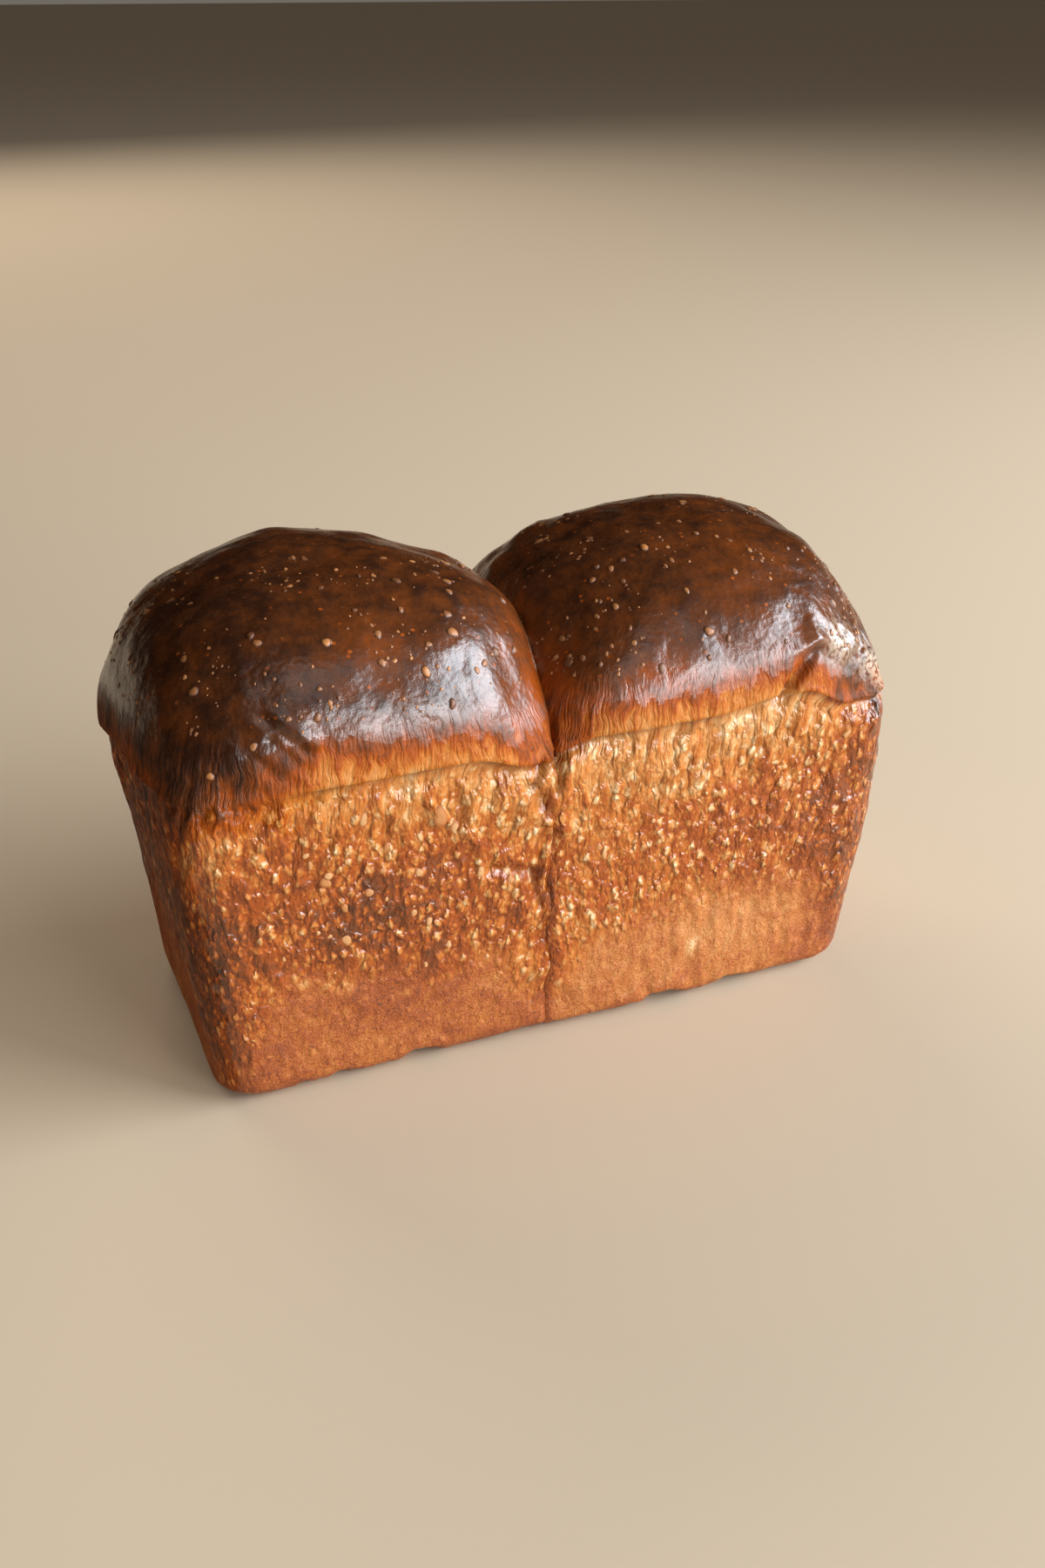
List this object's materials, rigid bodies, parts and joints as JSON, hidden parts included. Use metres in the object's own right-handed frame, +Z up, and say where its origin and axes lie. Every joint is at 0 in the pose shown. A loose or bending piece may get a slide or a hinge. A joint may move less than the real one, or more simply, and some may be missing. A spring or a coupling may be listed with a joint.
{
  "type": "two-domed tin loaf",
  "caption": "Two-domed enriched bread loaf baked in an open tin: glossy dark domes over straight golden sides, flat base.",
  "frame": {"origin": "Centre of the bounding box in plan, at the level of the flat base", "axes": "+X along the length from the taller-shouldered left dome to the right dome, as seen from the shown face at -Y; +Y across the width; +Z up"},
  "size_m": [0.2066, 0.1024, 0.132],
  "materials": {
    "crust": null
  },
  "bodies": {
    "root": {"loaf": "crust"}
  },
  "joints": []
}
